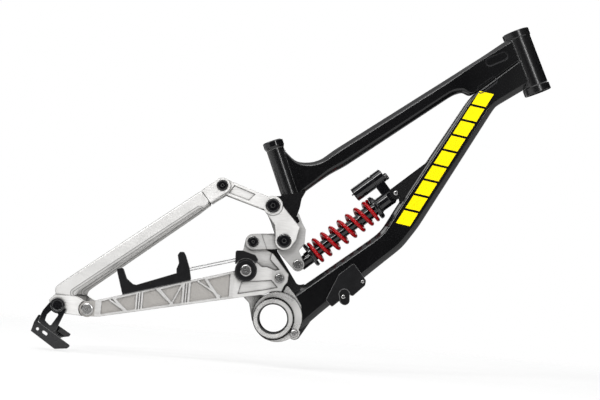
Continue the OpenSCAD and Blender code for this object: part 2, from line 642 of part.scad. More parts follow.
// Black bracket that hangs from the axle: two legs with a window, and a bent foot
foot_dir = 33;
module hanger_bracket() color("#101011") difference() {
    union() {
        side_bar(-1, rear_axle_at, 14, tube_y_out, tube_y_out + 4);
        side_plate(-1, tube_y_out, tube_y_out + 3) difference() {
            outline(at(rear_axle_at, [[-17, 4], [-29, -13, 20], [-37, -35, 6], [-8, -57], [1, -51], [18, -7]]));
            outline(at(rear_axle_at, [[-12, -12, 2], [4, -18, 3], [-11, -43, 3], [-23, -33, 3], [-20, -21, 6]]));
        }
        side_plate(-1, tube_y_out, tube_y_out + 4.5) outline(at(rear_axle_at, [[-49, -56, 1], [-44, -37, 2],
            [-36, -21, 2.5], [-32, -24, 2], [-36, -37], [33, -79, 3], [27, -85, 3], [2, -88, 2]]));
        // The web reaches inward to the second tab
        side_plate(-1, tube_y_out - 26, tube_y_out + 0.1) translate(rear_axle_at + [-1, -59]) rotate(-foot_dir)
            translate([-12, 0]) square([26, 3.5]);
        side_plate(-1, tube_y_out - 26, tube_y_out - 22) outline(at(rear_axle_at, [[-4, -55], [0, -41, 1],
            [28, -57, 2], [25, -62, 2], [9, -65, 1]]));
    }
    side_bar(-1, rear_axle_at, axle_d / 2 + run_gap, 60, 120);
    side_bar(-1, rear_axle_at + [-36, -51], 3, tube_y_out - 1, tube_y_out + 6);
    side_plate(-1, tube_y_out - 1, tube_y_out + 6)
        link_shape(rear_axle_at + [-23, -56.5], 3, rear_axle_at + [-18, -59.5], 3);
}

// ---------- Rocker linkage ----------

module rocker_arm(s) color("#d3d1ce") difference() {
    side_plate(s, rocker_y0, rocker_y1) {
        link_shape(stay_pivot, 15, link_pivot, 13.5);
        disc(link_pivot, 20);
    }
    // The arm laps over the rocker plate at their shared axle
    side_bar(s, link_pivot, 20.6, rocker_y0 - 1, lap_y + head_gap / 2);
    side_bar(s, stay_pivot, bolt_r + stay_play, rocker_y0 - 1, rocker_y1 + 1);
    side_bar(s, link_pivot, link_axle_r + run_gap, rocker_y0 - 1, rocker_y1 + 1);
    // Long recess in the outer face
    side_plate(s, rocker_y1 - 2.5, rocker_y1 + 1)
        outline([mix(stay_pivot, link_pivot, 0.2) + [2.4, 9], mix(stay_pivot, link_pivot, 0.62) + [2.4, 8, 2],
            mix(stay_pivot, link_pivot, 0.55) + [-2.4, -8, 2], mix(stay_pivot, link_pivot, 0.15) + [-2.4, -9]]);
}
module rocker_arm_drive() rocker_arm(-1);
module rocker_arm_left() rocker_arm(1);

module rocker_plate_shape() {
    disc(link_pivot, 20);
    disc(lower_pin, 18.5);
    outline(concat(at(link_pivot, [[-14, -14], [9, 17.9], [25, -5], [42, -22]]),
        at(lower_pin, [[29, 31, 3], [27.5, 24, 5], [24, 4, 10], [17, -7], [-17.5, -4], [-19.5, 17, 20]]),
        at(link_pivot, [[7, -39, 12]])));
}
module rocker_plate(s) color("#d3d1ce") difference() {
    union() {
        side_plate(s, rocker_y0, rocker_y1) rocker_plate_shape();
        side_bar(s, link_pivot, 11, plate_y1, rocker_y0 + 0.1);
    }
    side_bar(s, link_pivot, 20.6, lap_y - head_gap / 2, rocker_y1 + 1);
    side_bar(s, link_pivot, link_axle_r + run_gap, plate_y0, rocker_y1);
    side_bar(s, lower_pin, pin_r + run_gap, plate_y0, rocker_y1 + 1);
}
module rocker_plate_drive() rocker_plate(-1);
module rocker_plate_left() rocker_plate(1);

module shock_plate_shape() {
    disc(link_pivot, 18);
    disc(lower_pin, 18.5);
    disc(lower_eye_at, 13.3);
    outline(concat(at(link_pivot, [[-17, -6], [8, 16], [26, -4], [44, -23], [53, -32, 2], [57, -27, 2], [51, -16],
        [53, -9, 1], [63, -30]]), at(lower_pin, [[42, 27, 5], [42, -2, 6], [31, -16, 6]]),
        [lower_eye_at + [12.6, 4], lower_eye_at + [-10, -8.5], [-1, 136, 10]],
        [lower_pin + [-18, 6]], at(link_pivot, [[-2, -34, 20]])));
}
module shock_plate(s) color("#a9a6a2") difference() {
    side_plate(s, plate_y0, plate_y1) shock_plate_shape();
    side_bar(s, link_pivot, link_axle_r + run_gap, plate_y0 - 1, plate_y1 + 1);
    side_bar(s, lower_pin, pin_r + run_gap, plate_y0 - 1, plate_y1 + 1);
    side_bar(s, lower_eye_at, bolt_r + run_gap, plate_y0 - 1, plate_y1 + 1);
}
module shock_plate_drive() shock_plate(-1);
module shock_plate_left() shock_plate(1);
module lower_pin_bolts() color("#101012") for (s = [-1, 1])
    bolt(s, lower_pin, pin_r, plate_y0, rocker_y1 + 0.02, big_head_r - 0.2, 4.4, 9);
module lower_shock_bolt() color("#b5b4b2") {
    bolt(-1, lower_eye_at, bolt_r, -plate_y1, plate_y1 + 0.02, 10.2, 2.6, 8);
    bolt(1, lower_eye_at, bolt_r, plate_y1 - 1, plate_y1 + 0.02, 10.2, 2.6, 8);
}

module drag_link(s) color("#bdbab6") difference() {
    side_plate(s, drag_y0, drag_y1) link_shape(drag_pivot, 16.3, lower_pin, 16);
    side_bar(s, drag_pivot, bolt_r + run_gap, drag_y0 - 1, drag_y1 + 1);
    side_bar(s, lower_pin, pin_r + run_gap, drag_y0 - 1, drag_y1 + 1);
    // A step runs slantwise across the outer face
    side_plate(s, drag_y1 - 1.2, drag_y1 + 1) outline([drag_pivot + [15, 18], drag_pivot + [60, 18],
        drag_pivot + [60, -18], drag_pivot + [31, -18]]);
}
module drag_link_drive() drag_link(-1);
module drag_link_left() drag_link(1);
module drag_link_bolts() color("#101012") for (s = [-1, 1])
    bolt(s, drag_pivot, bolt_r, plate_y0 + 1, drag_y1 + 0.02, small_head_r, 3.8, 6);

// ---------- Shock ----------

// Places children with z along the shock from the lower eye, and -x above it
module along_shock() translate([lower_eye_at.x, 0, lower_eye_at.y]) rotate([0, 90 - shock_angle, 0]) children();
seat_z = 30.6;
seat_t = 8;
collar_z = eye_to_eye - 52.6;
body_z = eye_to_eye - 92;
body_r = 15.2;
res_off = 47;
spring_z0 = seat_z + seat_t;
spring_len = collar_z - spring_z0;

module lower_eye() color("#0f1012") difference() {
    union() {
        bar_y(lower_eye_at, 13, -eye_w / 2, eye_w / 2);
        along_shock() {
            translate([3, 0, 4]) cylinder(r = 13, h = seat_z - 4 + 0.1);
            translate([0, 0, seat_z]) rotate_extrude() polygon([[0, 0], [spring_od / 2 - 2.5, 0],
                [spring_od / 2 - 1, 1.5], [spring_od / 2, 2], [spring_od / 2, seat_t - 1.5],
                [spring_od / 2 - 1.5, seat_t], [0, seat_t]]);
        }
    }
    bar_y(lower_eye_at, bolt_r + eye_play, -eye_w, eye_w);
    along_shock() translate([0, 0, 22]) cylinder(d = shaft_d + 2 * run_gap, h = seat_z);
}
module shock_shaft() color("#17181a") along_shock() translate([0, 0, 22]) cylinder(d = shaft_d, h = body_z - 22 + 8);
module bottom_bumper() color("#1a1a1b") along_shock() translate([0, 0, spring_z0 + 0.02]) difference() {
    r = shaft_d / 2;
    rotate_extrude() polygon([[0, 0], [r + 3.5, 0], [r + 3.5, 3], [r + 2, 4.5], [r + 3, 6], [r + 3, 8],
        [r + 1.5, 10], [0, 10]]);
    translate([0, 0, -1]) cylinder(d = shaft_d + 2 * run_gap, h = 20);
}
module shock_body() color("#121214") difference() {
    union() {
        along_shock() {
            translate([0, 0, body_z]) cylinder(r = body_r, h = eye_to_eye - 10 - body_z);
            translate([0, 0, eye_to_eye - 44]) rotate_extrude() polygon([[0, 0], [15.5, 0], [16.5, 1], [16.5, 3],
                [15.6, 4], [15.6, 34], [13, 38], [0, 38]]);
            // Bridge to the reservoir
            translate([-res_off, -11, eye_to_eye - 24]) cube([res_off, 22, 20]);
        }
        bar_y(upper_eye_at, 13, -eye_w / 2, eye_w / 2);
    }
    bar_y(upper_eye_at, 7.5 + run_gap, -eye_w, eye_w);
    for (s = [-1, 1]) side_plate(s, eye_w / 2, 40) disc(upper_eye_at, 19);
    along_shock() {
        translate([0, 0, body_z - 1]) cylinder(d = shaft_d + 2 * run_gap, h = 79);
        translate([-res_off, 0, eye_to_eye - 80]) cylinder(d = res_d + 0.04, h = 100);
    }
}
module reservoir() color("#151517") along_shock() translate([-res_off, 0, eye_to_eye - 70]) {
    r = res_d / 2;
    rotate_extrude() polygon([[0, 0], [r - 1, 0], [r, 1], [r, 45], [r - 1.2, 46], [r - 1.2, 49], [r, 50],
        [r, 70.5], [r - 1.5, 72], [0, 72]]);
    // Gas valve at the lower end
    translate([-2.7, 0, -4.4]) cylinder(r = 1.6, h = 4.5);
}
module reservoir_knob() color("#0c0c0d") along_shock() translate([7 - res_off, 0, eye_to_eye + 2.3]) difference() {
    rotate_extrude() polygon([[0, 0], [8, 0], [8, 5], [6.8, 6.7], [0, 6.7]]);
    for (i = [0:11]) rotate(i * 30) translate([8.4, 0, -1]) cylinder(r = 1, h = 9, $fn = 24);
}
module spring_collar() color("#101012") along_shock() translate([0, 0, collar_z]) difference() {
    rotate_extrude() polygon([[body_r + run_gap, 0], [25.6, 0], [26.5, 1], [26.5, 5.5], [24, 8.6],
        [body_r + run_gap, 8.6]]);
    for (i = [0:7]) rotate(i * 45 + 22.5) translate([26.5, 0, 4]) rotate([0, 90, 0])
        cylinder(r = 1.6, h = 6, center = true, $fn = 24);
}

// Coil spring: close turns at both ends and open turns between them
closed_low = 0.55;
closed_high = 0.95;
open_turns = 6.5;
close_pitch = wire_d + 0.3;
open_pitch = (spring_len - wire_d - (closed_low + closed_high) * close_pitch - 0.1) / open_turns;
turns = closed_low + open_turns + closed_high;
turn_steps = 22;
wire_sides = 10;
function coil_z(t) = wire_d / 2 + 0.05 + close_pitch * min(t, closed_low)
    + open_pitch * max(0, min(t - closed_low, open_turns)) + close_pitch * max(0, t - closed_low - open_turns);
function coil_ring(t) = let (rc = (spring_od - wire_d) / 2, a = 180 + 360 * t)
    [for (k = [0:wire_sides - 1]) let (b = 360 * k / wire_sides, r = rc + wire_d / 2 * cos(b))
        [r * cos(a), r * sin(a), coil_z(t) + wire_d / 2 * sin(b)]];
module coil_spring() color("#b3121d") along_shock() translate([0, 0, spring_z0]) {
    n = turns * turn_steps;
    m = wire_sides;
    polyhedron(points = [for (i = [0:n]) each coil_ring(i / turn_steps)],
        faces = concat([[for (k = [0:m - 1]) k]], [[for (k = [0:m - 1]) n * m + m - 1 - k]],
            [for (i = [0:n - 1]) for (k = [0:m - 1]) let (k2 = (k + 1) % m)
                [i * m + k, (i + 1) * m + k, (i + 1) * m + k2, i * m + k2]]));
}

head_tube();
top_tube();
down_tube();
seat_tube();
spine();
seat_collar();
shock_mount();
bb_cradle();
bb_sleeve();
cradle_bolts();
downtube_guard();
guard_screws();
main_axle();
main_axle_caps();
main_bearings();
link_axle();
link_axle_bolts();
link_bearings();
swingarm();
idler_roller();
idler_bolt();
idler_guard();
rear_pivot_bolts();
hose_rail();
hose_rods();
seatstay_drive();
seatstay_left();
stay_end_drive();
stay_end_left();
stay_bolts();
dropout_drive();
dropout_left();
rear_pivot_bearings();
rear_axle();
axle_cap();
hanger_bracket();
rocker_arm_drive();
rocker_arm_left();
rocker_plate_drive();
rocker_plate_left();
shock_plate_drive();
shock_plate_left();
lower_pin_bolts();
lower_shock_bolt();
drag_link_drive();
drag_link_left();
drag_link_bolts();
upper_shock_bolt();
upper_eye_bush();
shock_body();
reservoir();
reservoir_knob();
spring_collar();
coil_spring();
shock_shaft();
bottom_bumper();
lower_eye();
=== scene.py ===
# %% [markdown]
# A downhill bicycle frame in two finishes: black tubes in front, raw alloy
# links behind. The exact model gives every place and size in metres, so this
# lesson only adds looks: smooth tubes, rounded edges, finishes, light and a
# camera. The first cell loads that model and keeps its size, which later places
# the floor.

# %% Load the exact model
import json
import math

import bmesh
import bpy
from mathutils import Matrix, Vector

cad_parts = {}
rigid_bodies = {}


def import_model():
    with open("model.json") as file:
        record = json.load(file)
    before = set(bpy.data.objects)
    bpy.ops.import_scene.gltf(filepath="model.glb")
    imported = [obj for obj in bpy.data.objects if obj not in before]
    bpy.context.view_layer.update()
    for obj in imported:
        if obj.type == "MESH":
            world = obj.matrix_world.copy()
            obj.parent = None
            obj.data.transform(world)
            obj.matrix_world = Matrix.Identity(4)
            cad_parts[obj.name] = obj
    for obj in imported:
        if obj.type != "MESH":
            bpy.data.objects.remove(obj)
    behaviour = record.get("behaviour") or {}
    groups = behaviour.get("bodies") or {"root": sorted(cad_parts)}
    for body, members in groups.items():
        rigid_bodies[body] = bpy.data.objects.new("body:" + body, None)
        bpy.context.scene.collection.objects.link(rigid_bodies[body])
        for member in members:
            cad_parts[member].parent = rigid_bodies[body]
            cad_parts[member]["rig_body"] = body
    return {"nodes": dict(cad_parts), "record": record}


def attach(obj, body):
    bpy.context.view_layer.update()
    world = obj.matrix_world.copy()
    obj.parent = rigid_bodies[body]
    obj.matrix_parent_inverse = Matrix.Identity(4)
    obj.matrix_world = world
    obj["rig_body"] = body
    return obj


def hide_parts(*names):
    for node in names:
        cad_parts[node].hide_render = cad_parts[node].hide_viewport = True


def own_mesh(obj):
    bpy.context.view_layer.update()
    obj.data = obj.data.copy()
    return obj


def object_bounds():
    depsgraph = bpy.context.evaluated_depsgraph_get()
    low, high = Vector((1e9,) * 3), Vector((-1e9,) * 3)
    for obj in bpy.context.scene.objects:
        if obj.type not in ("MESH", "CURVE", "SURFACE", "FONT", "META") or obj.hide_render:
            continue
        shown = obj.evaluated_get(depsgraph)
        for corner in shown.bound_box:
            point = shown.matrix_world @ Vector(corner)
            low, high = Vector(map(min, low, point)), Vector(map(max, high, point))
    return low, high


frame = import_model()
cad_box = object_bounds()
nodes = frame["nodes"]

# %% [markdown]
# A finish is a small graph of shader nodes. Wiring it by hand takes four lines
# for every sum, so this class wraps one socket and turns Python's operators
# into Math nodes. Colours go through Mix nodes instead, because a Math node
# would turn a colour grey. The reflected forms let 1 - mask work as well.

# %% Shader maths in Python


class Wire:
    """One output socket of a graph, with operators that add Math nodes."""

    def __init__(self, graph, socket):
        self.graph = graph
        self.socket = socket

    def maths(self, operation, other=None, clamp=False):
        inputs = {0: self} if other is None else {0: self, 1: other}
        return self.graph.node("Math", {"operation": operation, "use_clamp": clamp}, inputs)

    def from_left(self, operation, other):
        return self.graph.node("Math", {"operation": operation}, {0: other, 1: self})

    def __add__(self, other):
        return self.maths("ADD", other)

    def __sub__(self, other):
        return self.maths("SUBTRACT", other)

    def __mul__(self, other):
        return self.maths("MULTIPLY", other)

    def __truediv__(self, other):
        return self.maths("DIVIDE", other)

    def __pow__(self, other):
        return self.maths("POWER", other)

    def __gt__(self, other):
        return self.maths("GREATER_THAN", other)

    def __lt__(self, other):
        return self.maths("LESS_THAN", other)

    def __mod__(self, other):
        return self.maths("FLOORED_MODULO", other)

    def __abs__(self):
        return self.maths("ABSOLUTE")

    __radd__ = __add__
    __rmul__ = __mul__

    def __rsub__(self, other):
        return self.from_left("SUBTRACT", other)

    def __rtruediv__(self, other):
        return self.from_left("DIVIDE", other)

    def clip(self):
        return self.maths("ADD", 0.0, clamp=True)

    def step(self, low, high):
        """0 below low, 1 above high, and a smooth rise between them."""
        return self.graph.node("MapRange", {"interpolation_type": "SMOOTHSTEP"},
                               {0: self, 1: low, 2: high})


# %% [markdown]
# Every other node comes from one method. It takes the node's type, then its
# settings, such as the stops of a ramp, and then its sockets, each given a
# value or a link. The world and the finishes share this class.

# %% Graphs


class Graph:
    """The nodes of a material or of the world."""

    def __init__(self, tree):
        self.tree = tree

    def plug(self, socket, value):
        """Links a wire to a socket, or writes a number or colour into it."""
        if isinstance(value, Wire):
            self.tree.links.new(value.socket, socket)
            return
        if hasattr(socket.default_value, "__len__"):
            size = len(socket.default_value)
            value = list(value) if hasattr(value, "__len__") else [value] * size
            if size == 4 and len(value) == 3:
                value.append(1.0)
        socket.default_value = value

    def node(self, kind, settings=None, inputs=None, out=0):
        """Adds any node: its settings first, then its sockets by name or number."""
        made = self.tree.nodes.new("ShaderNode" + kind)
        for key, value in (settings or {}).items():
            if key == "stops":
                ramp = made.color_ramp
                while len(ramp.elements) < len(value):
                    ramp.elements.new(1.0)
                for element, (at, colour) in zip(ramp.elements, value):
                    element.position = at
                    element.color = (*colour, 1.0)
            else:
                setattr(made, key, value)
        for key, value in (inputs or {}).items():
            self.plug(made.inputs[key], value)
        return Wire(self, made.outputs[out])

    def ends_in(self, wire, output):
        """Makes a wire the graph's result, in place of the default shader."""
        self.plug(self.tree.nodes[output].inputs[0], wire)


# %% [markdown]
# A finish is the graph of one material. It knows the few things that this
# frame's surfaces need: the place of a point on the object, noise, soft edges
# and corners. A Bevel node rounds an edge in the shading alone, and ambient
# occlusion tells how closed in a point is.

# %% Finishes


class Finish(Graph):
    """A procedural material for one of this frame's surfaces."""

    def __init__(self, name):
        self.material = bpy.data.materials.new(name)
        self.material.use_nodes = True
        super().__init__(self.material.node_tree)
        self.shader = self.tree.nodes["Principled BSDF"]
        # The place on the object, in metres; every piece keeps the model's own coordinates.
        self.place = self.node("TexCoord", out="Object")

    def axis(self, name):
        return self.node("SeparateXYZ", None, {0: self.place}, out="XYZ".index(name))

    def stretched(self, scale):
        return self.node("Mapping", None, {0: self.place, 3: scale})

    def noise(self, scale, detail=3.0, rough=0.55, at=None):
        return self.node("TexNoise", None, {"Vector": at or self.place, "Scale": scale,
                                            "Detail": detail, "Roughness": rough})

    def blend(self, mask, low, high):
        """Colour low where the mask is 0, and high where it is 1."""
        # A Mix node's colours are its inputs 6 and 7, and its output 2.
        return self.node("Mix", {"data_type": "RGBA"}, {"Factor": mask, 6: low, 7: high}, out=2)

    def soft_edge(self, radius):
        return self.node("Bevel", {"samples": 6}, {"Radius": radius})

    def bump(self, height, strength, distance, under=None):
        inputs = {"Height": height, "Strength": strength, "Distance": distance}
        if under is not None:
            inputs["Normal"] = under
        return self.node("Bump", None, inputs)

    def crevice(self, distance):
        """1 on an open surface, and less in a corner."""
        return self.node("AmbientOcclusion", {"samples": 6}, {"Distance": distance}, out="AO")

    def rim(self, radius, gain=4.0):
        """1 on a sharp edge and 0 on a flat face: how far a soft normal turns from the real one."""
        real = self.node("NewGeometry", out="Normal")
        same = self.node("VectorMath", {"operation": "DOT_PRODUCT"},
                         {0: self.soft_edge(radius), 1: real}, out="Value")
        return ((1 - same) * gain).clip()

    def done(self, **values):
        """Sets the shader's sockets by name, with spaces written as _."""
        for name, value in values.items():
            self.plug(self.shader.inputs[name.replace("_", " ")], value)
        return self.material


# %% [markdown]
# Two shallow hollows are pressed into the sides of the tubes behind the head
# tube, one in the top tube and one along the seam below it, and the lacquer
# lies over them. They are only a millimetre deep, so a bump does the work: the
# height falls off smoothly at a rounded outline, which is a point's distance
# from a short line. Each row holds the ends of that line, [x, z], and the
# radius.

# %% Hollows pressed into the tubes
hollows = [((0.400, 0.566), (0.427, 0.580), 0.0085), ((0.386, 0.507), (0.410, 0.528), 0.0075)]


def near_line(f, a, b):
    """Distance in side view from the line between two points [x, z], in metres."""
    dx, dz = b[0] - a[0], b[1] - a[1]
    long = dx * dx + dz * dz
    x, z = f.axis("X") - a[0], f.axis("Z") - a[1]
    along = ((x * dx + z * dz) / long).clip()
    far_x, far_z = x - along * dx, z - along * dz
    return (far_x * far_x + far_z * far_z) ** 0.5


def pressed_in(f, under):
    """The bump of the hollows, and a mask of their lips, which get a painted highlight."""
    height, clear = 1.0, 1.0
    for a, b, radius in hollows:
        far = near_line(f, a, b)
        height = far.step(radius - 0.002, radius + 0.002) * height
        clear = abs(far - radius).step(0.0005, 0.0018) * clear
    return f.bump(height, 1.0, 0.0060, under), 1 - clear


print("hollows", len(hollows))

# %% [markdown]
# The front tubes are black lacquer over a very dark base. The lacquer mirrors
# only a little of a white studio, so the flat sides stay nearly black and the
# rounded edges catch thin bright lines. A slow cloud in the colour and a faint
# wave in the surface, like sprayed paint, keep the lines from looking printed.
# The skins of the big tubes have round edges of their own; the exact parts get
# theirs from a Bevel node, whose radius is edge.

# %% Black lacquer


def lacquer(name, extra=None, edge=0.0010, coat=1.0, mirror=0.05):
    f = Finish(name)
    cloud = f.noise(9.0, 4.0)
    peel = f.noise(55.0, 1.0)
    colour = f.blend(cloud, (0.0022, 0.0022, 0.0025), (0.0055, 0.0055, 0.0060))
    rough = 0.25 + cloud * 0.10
    if extra:
        colour, rough = extra(f, colour, rough)
    shaped, lip_highlight = pressed_in(f, f.soft_edge(edge) if edge else None)
    # Painted highlight: the lips of the hollows are a shade lighter.
    colour = f.blend(lip_highlight, colour, (0.040, 0.040, 0.042))
    normal = f.bump(peel, 0.05, 0.0006, shaped)
    return f.done(Base_Color=colour, Roughness=rough, Specular_IOR_Level=0.08,
                  Coat_Weight=coat, Coat_Roughness=mirror, Normal=normal)


# %% [markdown]
# A slanted yellow stripe runs along both sides of the down tube. It is paint,
# so it belongs in the finish and not in the mesh. The mask measures how far a
# point lies along the tube and how far from its middle line, and keeps plain
# slanted blocks with narrow gaps between them.

# %% Yellow stripe on the down tube
stripe_from = Vector((0.2490, 0.0, 0.2150))
stripe_to = Vector((0.4010, 0.0, 0.5060))
stripe_dir = (stripe_to - stripe_from).normalized()
stripe_len = (stripe_to - stripe_from).length
stripe_half = 0.0140
block_pitch = stripe_len / 9
block_share = 0.86
block_lean = 0.35
flat_side_y = 0.0229


def striped(f, colour, rough):
    x = f.axis("X") - stripe_from.x
    z = f.axis("Z") - stripe_from.z
    along = x * stripe_dir.x + z * stripe_dir.z
    across = z * stripe_dir.x - x * stripe_dir.z
    slanted = along + across * block_lean
    inside = (abs(across) < stripe_half) * (slanted > 0.0) * (slanted < stripe_len)
    block = (slanted % block_pitch) < (block_pitch * block_share)
    side = abs(f.axis("Y")) > flat_side_y
    mask = inside * block * side
    yellow = f.blend(f.noise(30.0, 3.0), (0.93, 0.74, 0.0), (1.0, 0.84, 0.0))
    return f.blend(mask, colour, yellow), rough + mask * 0.12


print("stripe length", round(stripe_len, 3))

# %% [markdown]
# The links, stays and forging are raw alloy, ground, brushed and then handled:
# nearly white on the open faces and streaky along the grain. Stretched noise
# gives the brush marks and slow noise gives the smudges. Two ambient occlusion
# nodes paint shade into the wide hollows and the thin seams between pieces.
# Faces that look towards the middle of the frame get painted shade, and so does
# the last bit of each sharp edge.

# %% Raw alloy
across_grain = (50.0, 50.0, 420.0)
no_grain = (30.0, 30.0, 30.0)
side_gain = 40.0  # a face 25 mm from the middle of the frame counts in full


def raw_alloy(name, light, dark=0.20, grain=across_grain, brushed=0.35, mottle=0.6,
              metallic=0.55, polish=0.30, cast=None):
    f = Finish(name)
    smudge = f.noise(14.0, 2.0, 0.5)
    brush = f.noise(1.0, 2.0, 0.5, at=f.stretched(grain))
    # Painted shade: ambient occlusion darkens the wide hollows and the thin seams.
    hollow_shade, seam_shade = f.crevice(0.016), f.crevice(0.004)
    facing = f.node("SeparateXYZ", None, {0: f.node("NewGeometry", out="Normal")}, out="Y")
    # Painted shade on faces that look inward, and a dark painted line on the last bit of each sharp
    # edge.
    inner = (facing * f.axis("Y") * -side_gain).clip()
    outline = f.rim(0.0032, 5.0)
    tone_and_shade = (hollow_shade * 0.8 + seam_shade * 0.3 + smudge * mottle + brush * brushed - inner * 0.4
            - outline * 0.45 - 0.33 - (mottle + brushed) / 2).clip()
    stops = [(0.0, (dark * 0.16, dark * 0.155, dark * 0.15)),
             (0.30, (dark, dark * 0.985, dark * 0.96)),
             (0.62, (light * 0.76, light * 0.75, light * 0.735)),
             (1.0, (light, light * 0.992, light * 0.98))]
    colour = f.node("ValToRGB", {"stops": stops}, {0: tone_and_shade})
    rough = polish + smudge * 0.26 + brush * 0.08
    if cast:
        colour, rough = cast(f, facing, colour, rough)
    normal = f.bump(brush, 0.025, 0.0004, f.soft_edge(0.0009))
    return f.done(Base_Color=colour, Metallic=metallic, Roughness=rough, Normal=normal)


# %% [markdown]
# The chainstays are forged with hollow bays between ground ribs. The floor of
# each bay keeps the forging's sandy grey-brown skin. A point is on a floor
# when it lies more than a millimetre and a half behind the sloping outer face,
# and looks outward.

# %% Floors of the chainstay's bays
bays_start_x = -0.085
outer_face_y = 0.053
outer_face_slope = 0.0365 / 0.262
bay_depth = 0.0015


def bay_floors(f, facing, colour, rough):
    x, y = f.axis("X"), abs(f.axis("Y"))
    outer_face = outer_face_y + (bays_start_x - x) * outer_face_slope
    behind = (outer_face - y) > bay_depth
    outward = (facing * f.axis("Y") * side_gain).clip().step(0.55, 0.8)
    floor = behind * outward * (x < bays_start_x - 0.001)
    sand = f.noise(700.0, 4.0, 0.7)
    skin = f.blend(sand, (0.30, 0.285, 0.27), (0.50, 0.485, 0.465))
    return f.blend(floor, colour, skin), rough + floor * 0.2


print("slope of the chainstay's side", round(outer_face_slope, 4))

# %% [markdown]
# The seatstay's extrusion has two fine grooves along its lower edge, drawn as
# dark lines of painted shade, and the band below them gets painted shade too.
# One distance from that edge, seen from the side, places all three. A dark
# line follows the upper edge.

# %% Grooves of the seatstay
stay_upper_edge = ((-0.440, 0.0285), (-0.168, 0.248))
stay_lower_edge = ((-0.400, 0.018), (-0.168, 0.206))
groove_at = (0.0045, 0.0095)


def stay_lines(f, facing, colour, rough):
    from_edge = near_line(f, *stay_lower_edge)
    # Painted shade: the band below the grooves is darker, and the grooves are dark lines.
    shaded_band = 1 - from_edge.step(0.0085, 0.0095)
    clear = 1.0
    for distance in groove_at:
        clear = abs(from_edge - distance).step(0.0003, 0.0010) * clear
    with_painted_shade = f.blend(shaded_band * 0.5, colour, (0.40, 0.395, 0.385))
    top_line = 1 - near_line(f, *stay_upper_edge).step(0.0010, 0.0024)
    marks = ((1 - clear) * 0.8 + top_line * 0.6).clip()
    return f.blend(marks, with_painted_shade, (0.10, 0.10, 0.095)), rough


print("grooves", groove_at, "metres above the lower edge")

# %% [markdown]
# Small parts share plain recipes: anodised black, moulded plastic, turned
# steel, rubber and the red powder coat of the spring. Each one still gets
# noise in its roughness and a soft edge, because a single flat value always
# looks like a computer picture. Only the spring needs no soft edge, because
# its wire is round. Black parts get a painted highlight along their edges,
# and the recipe for metal and the red coat paints shade into corners.

# %% Recipes of the small parts


def plain_metal(name, colour, rough, grain=300.0, edge=0.0004, gloss=0.5, metallic=1.0,
                coat=0.0, edge_highlight_to=None):
    f = Finish(name)
    fine = f.noise(grain, 3.0)
    slow = f.noise(30.0, 3.0)
    # Painted shade: ambient occlusion darkens the corners.
    corner_shade = f.crevice(0.003)
    mottle_and_shade_colour = tuple(c * 0.45 for c in colour)
    tone_with_painted_light = f.blend((slow * 0.6 + corner_shade * 0.9 - 0.35).clip(), mottle_and_shade_colour, colour)
    # Painted highlight: a lighter line along each edge of a black part.
    if edge_highlight_to:
        tone_with_painted_light = f.blend(f.rim(0.0016), tone_with_painted_light, (edge_highlight_to, edge_highlight_to, edge_highlight_to))
    return f.done(Base_Color=tone_with_painted_light, Metallic=metallic, Roughness=rough + fine * 0.12 - 0.06,
                  Specular_IOR_Level=gloss, Coat_Weight=coat, Coat_Roughness=0.06,
                  Normal=f.bump(fine, 0.08, 0.0003, f.soft_edge(edge)))


def moulded(name, colour, rough, grain=900.0):
    f = Finish(name)
    fine = f.noise(grain, 2.0)
    slow = f.noise(40.0, 4.0)
    pale = tuple(c * 1.8 + 0.003 for c in colour)
    # Painted highlight: a lighter line along each rim.
    tone_with_painted_light = f.blend(f.rim(0.0022) * 0.9, f.blend(slow, colour, pale), (0.22, 0.22, 0.22))
    return f.done(Base_Color=tone_with_painted_light, Roughness=rough + slow * 0.12, Specular_IOR_Level=0.14,
                  Normal=f.bump(fine, 0.2, 0.0004, f.soft_edge(0.0007)))


# %% [markdown]
# Here is every finish by name. The first ones carry the names of the record's
# material slots, and the others are variants for a single kind of piece.

# %% All finishes
black = (0.004, 0.004, 0.005)
tube = {"edge": None, "coat": 0.75, "mirror": 0.08}
anodised = {"metallic": 0.0, "gloss": 0.1}
finishes = {
    "black_paint": lacquer("black lacquer", mirror=0.24),
    "raw_alloy": raw_alloy("raw alloy", 0.93, dark=0.30),
    "grey_alloy": raw_alloy("shaded alloy", 0.52),
    "black_alloy": plain_metal("black anodised", black, 0.30, coat=0.8, edge_highlight_to=0.16, **anodised),
    "black_plastic": moulded("moulded plastic", (0.0045, 0.0045, 0.005), 0.30),
    "steel": plain_metal("turned steel", (0.46, 0.455, 0.45), 0.26),
    "rubber": moulded("rubber", (0.010, 0.010, 0.010), 0.7, 500.0),
    "red_coat": plain_metal("red powder coat", (0.33, 0.0012, 0.004), 0.30, 700.0, edge=0.0,
                            gloss=0.08, metallic=0.0, coat=0.42),
    "dark_shock": plain_metal("damper anodising", black, 0.24, coat=0.9, edge_highlight_to=0.07, **anodised),
    "tube_paint": lacquer("tube lacquer", **tube),
    "striped_paint": lacquer("tube lacquer with stripe", striped, **tube),
    "ribbed_alloy": raw_alloy("forged and ground alloy", 0.70, dark=0.24, cast=bay_floors),
    # The drag links take a darker copy of the raw alloy, as painted shade.
    "mid_alloy": raw_alloy("alloy in painted shade", 0.60),
    "polished_alloy": raw_alloy("polished forging", 0.95, dark=0.14, grain=no_grain, brushed=0.10,
                                mottle=0.35, metallic=0.8, polish=0.10),
    "long_alloy": raw_alloy("extruded alloy", 0.82, dark=0.30, grain=no_grain, brushed=0.10,
                            mottle=0.30, cast=stay_lines),
    "drawn_steel": plain_metal("drawn steel", (0.36, 0.36, 0.36), 0.30),
}
print("finishes", ", ".join(sorted(finishes)))

# %% [markdown]
# Every part of the exact model now gets its finish. The record says which slot
# a part takes, and five parts have a variant of their own. The finish is set
# on the object and not on the mesh, because the exact mesh is never changed.

